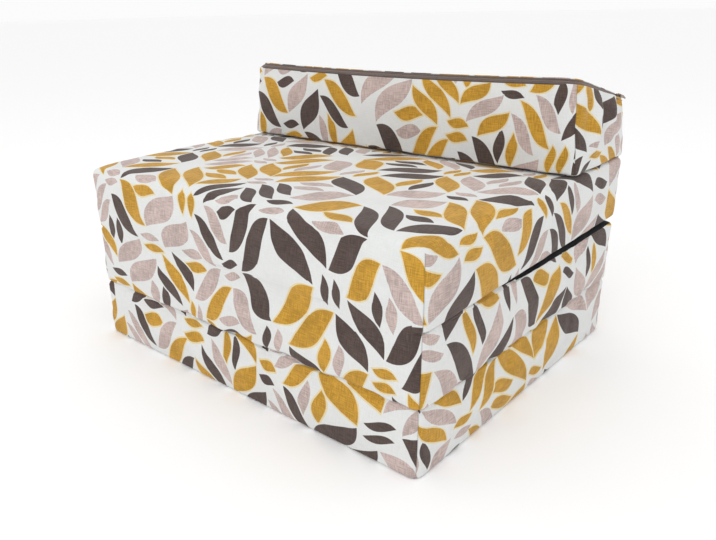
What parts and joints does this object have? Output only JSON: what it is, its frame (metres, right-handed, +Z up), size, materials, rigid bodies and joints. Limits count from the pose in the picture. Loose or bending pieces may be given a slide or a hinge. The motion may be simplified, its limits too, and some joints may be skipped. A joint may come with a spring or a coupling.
{
  "type": "folding futon chair bed",
  "caption": "Fold-out foam chair bed: three fabric-covered pads that unfold on sewn hinges, with a foam wedge that serves as headrest and pillow",
  "frame": {"origin": "middle of the folded bed's footprint on the floor", "axes": "+X to the sitter's left hand along the 700 mm width seen from the front right, +Y to the back, +Z up"},
  "size_m": [0.7049, 0.6026, 0.4655],
  "materials": {
    "printed_cloth": "slub linen weave with a printed leaf pattern in mustard, dark brown and blush",
    "underside_cloth": "slub linen weave with the same print",
    "foam": "open-cell upholstery foam, inside the covers",
    "zip_tape": "woven brown polyester tape",
    "zip_coil": "brown nylon coil",
    "zip_metal": "dark bronze painted zinc alloy"
  },
  "bodies": {
    "base": {"base_foam": "foam", "base_cover": "printed_cloth", "base_underside": "underside_cloth", "base_zip_tape": "zip_tape", "base_zip_coil": "zip_coil", "base_zip_stops": "zip_metal", "rear_hinge_strip": "printed_cloth"},
    "middle": {"middle_foam": "foam", "middle_cover": "printed_cloth", "middle_underside": "underside_cloth", "middle_zip_tape": "zip_tape", "middle_zip_coil": "zip_coil", "middle_zip_stops": "zip_metal", "front_hinge_strip": "printed_cloth"},
    "seat": {"seat_foam": "foam", "seat_cover": "printed_cloth", "seat_underside": "underside_cloth", "seat_zip_tape": "zip_tape", "seat_zip_coil": "zip_coil", "seat_zip_stops": "zip_metal", "headrest_hinge_strip": "printed_cloth"},
    "headrest": {"headrest_foam": "foam", "headrest_cover": "printed_cloth", "headrest_top_flap": "printed_cloth", "headrest_zip_tape": "zip_tape", "headrest_zip_coil": "zip_coil", "headrest_zip_stops": "zip_metal"},
    "base_zip_slider": {"base_zip_slider": "zip_metal"},
    "base_zip_puller": {"base_zip_puller": "zip_metal"},
    "middle_zip_slider": {"middle_zip_slider": "zip_metal"},
    "middle_zip_puller": {"middle_zip_puller": "zip_metal"},
    "seat_zip_slider": {"seat_zip_slider": "zip_metal"},
    "seat_zip_puller": {"seat_zip_puller": "zip_metal"},
    "headrest_zip_slider": {"headrest_zip_slider": "zip_metal"},
    "headrest_zip_puller": {"headrest_zip_puller": "zip_metal"}
  },
  "joints": [
    {"name": "rear_fold", "type": "hinge", "parent": "base", "child": "middle", "pos_m": [0, 0.303, 0.1025], "axis": [-1, 0, 0], "range_deg": [0, 180], "deforming": ["rear_hinge_strip"]},
    {"name": "front_fold", "type": "hinge", "parent": "middle", "child": "seat", "pos_m": [0, -0.303, 0.2075], "axis": [1, 0, 0], "range_deg": [0, 181.1], "deforming": ["front_hinge_strip"]},
    {"name": "headrest_fold", "type": "hinge", "parent": "seat", "child": "headrest", "pos_m": [0, 0.30087, 0.32411], "axis": [-1, 0, 0], "range_deg": [0, 167], "deforming": ["headrest_hinge_strip"]},
    {"name": "base_zip_slide", "type": "slide", "parent": "base", "child": "base_zip_slider", "axis": [0, -1, 0], "range_m": [-0.4992, 0], "deforming": ["base_zip_coil"]},
    {"name": "base_puller_turn", "type": "hinge", "parent": "base_zip_slider", "child": "base_zip_puller", "pos_m": [-0.35265, -0.2496, 0.05], "axis": [0, 0, -1], "range_deg": [0, 180]},
    {"name": "middle_zip_slide", "type": "slide", "parent": "middle", "child": "middle_zip_slider", "axis": [0, -1, 0], "range_m": [-0.4992, 0], "deforming": ["middle_zip_coil"]},
    {"name": "middle_puller_turn", "type": "hinge", "parent": "middle_zip_slider", "child": "middle_zip_puller", "pos_m": [-0.35265, -0.2496, 0.155], "axis": [0, 0, -1], "range_deg": [0, 180]},
    {"name": "seat_zip_slide", "type": "slide", "parent": "seat", "child": "seat_zip_slider", "axis": [0, -0.9998, -0.0192], "range_m": [-0.4992, 0], "deforming": ["seat_zip_coil"]},
    {"name": "seat_puller_turn", "type": "hinge", "parent": "seat_zip_slider", "child": "seat_zip_puller", "pos_m": [-0.35265, -0.25062, 0.26102], "axis": [0, 0.0192, -0.9998], "range_deg": [0, 180]},
    {"name": "headrest_zip_slide", "type": "slide", "parent": "headrest", "child": "headrest_zip_slider", "axis": [0, 0.9757, -0.2193], "range_m": [-0.137, 0], "deforming": ["headrest_zip_coil"]},
    {"name": "headrest_puller_turn", "type": "hinge", "parent": "headrest_zip_slider", "child": "headrest_zip_puller", "pos_m": [0.33698, 0.2695, 0.42511], "axis": [0.7358, -0.1485, -0.6608], "range_deg": [0, 150]}
  ]
}
